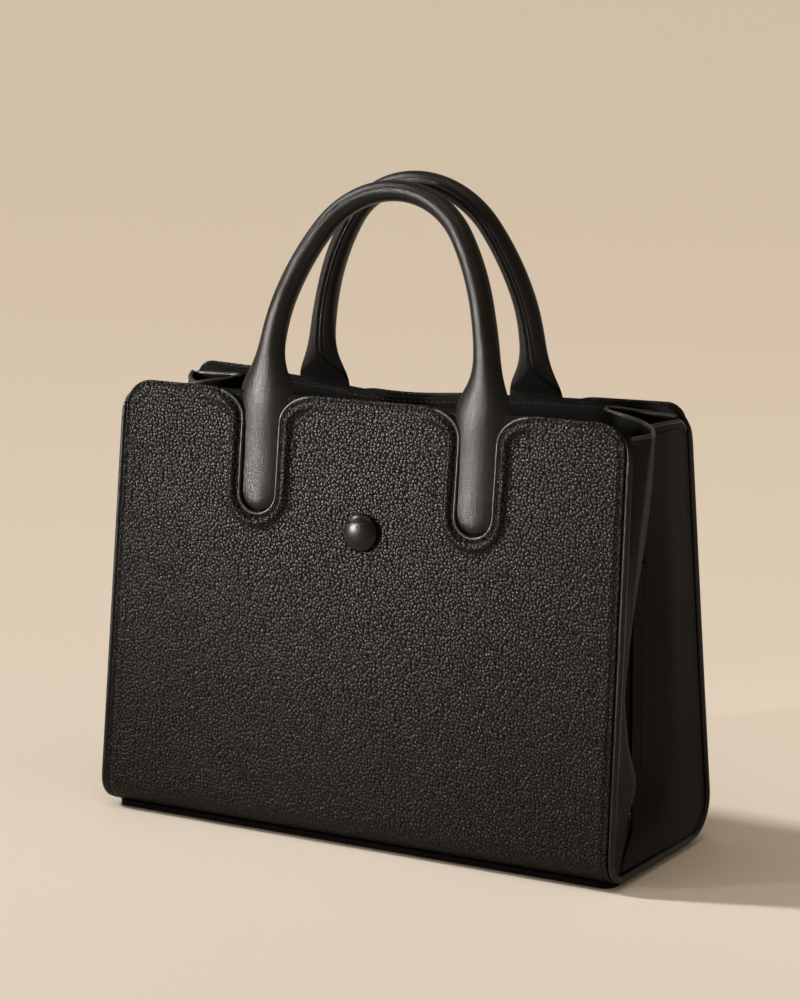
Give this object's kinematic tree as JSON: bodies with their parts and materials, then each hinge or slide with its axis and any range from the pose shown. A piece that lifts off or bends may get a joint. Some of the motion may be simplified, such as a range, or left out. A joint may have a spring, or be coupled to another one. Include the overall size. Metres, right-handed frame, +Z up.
{
  "type": "top handle bag",
  "caption": "Structured leather handbag with a wide base, folded side gussets, rolled top handles framed by stitched channels and a domed stud on the front.",
  "frame": {"origin": "centre of the sole's bottom face, where the bag stands", "axes": "+Z up, +X along the bag's width, -Y out of the front with the stud"},
  "size_m": [0.3, 0.112, 0.3356],
  "materials": {
    "pebbled_leather": "pebbled grain",
    "smooth_leather": "smooth satin",
    "gusset_leather": "smooth matt",
    "lining_cloth": "fine woven",
    "rope_core": "twisted cotton",
    "fibre_board": "pressed leather board",
    "black_metal": "satin black"
  },
  "bodies": {
    "base": {"base_panel": "pebbled_leather", "sole": "smooth_leather", "base_board": "fibre_board", "base_lining": "lining_cloth", "base_piping_left": "smooth_leather", "base_piping_right": "smooth_leather", "left_gusset_front": "gusset_leather", "left_gusset_back": "gusset_leather", "left_crease_strip": "gusset_leather", "right_gusset_front": "gusset_leather", "right_gusset_back": "gusset_leather", "right_crease_strip": "gusset_leather"},
    "front_side": {"front_panel": "pebbled_leather", "front_underlay": "smooth_leather", "front_lining": "lining_cloth", "front_facing": "smooth_leather", "front_tab_left": "smooth_leather", "front_tab_right": "smooth_leather", "front_piping_left": "smooth_leather", "front_piping_right": "smooth_leather", "stud": "black_metal", "stud_washer": "black_metal"},
    "back_side": {"back_panel": "pebbled_leather", "back_underlay": "smooth_leather", "back_lining": "lining_cloth", "back_facing": "smooth_leather", "back_tab_left": "smooth_leather", "back_tab_right": "smooth_leather", "back_piping_left": "smooth_leather", "back_piping_right": "smooth_leather"},
    "front_grip": {"front_handle": "smooth_leather", "front_handle_core": "rope_core"},
    "back_grip": {"back_handle": "smooth_leather", "back_handle_core": "rope_core"}
  },
  "joints": [
    {"name": "front_swing", "type": "hinge", "parent": "base", "child": "front_side", "pos_m": [0, -0.05381, 0.01977], "axis": [1, 0, 0], "range_deg": [0, 6], "deforming": ["left_gusset_front", "right_gusset_front", "left_crease_strip", "right_crease_strip"]},
    {"name": "back_swing", "type": "hinge", "parent": "base", "child": "back_side", "pos_m": [0, 0.05381, 0.01977], "axis": [-1, 0, 0], "range_deg": [0, 6], "deforming": ["left_gusset_back", "right_gusset_back", "left_crease_strip", "right_crease_strip"]},
    {"name": "front_handle_tilt", "type": "hinge", "parent": "front_side", "child": "front_grip", "pos_m": [0, -0.03, 0.23006], "axis": [1, 0, 0], "range_deg": [0, 75]},
    {"name": "back_handle_tilt", "type": "hinge", "parent": "back_side", "child": "back_grip", "pos_m": [0, 0.03, 0.23006], "axis": [-1, 0, 0], "range_deg": [0, 75]}
  ]
}
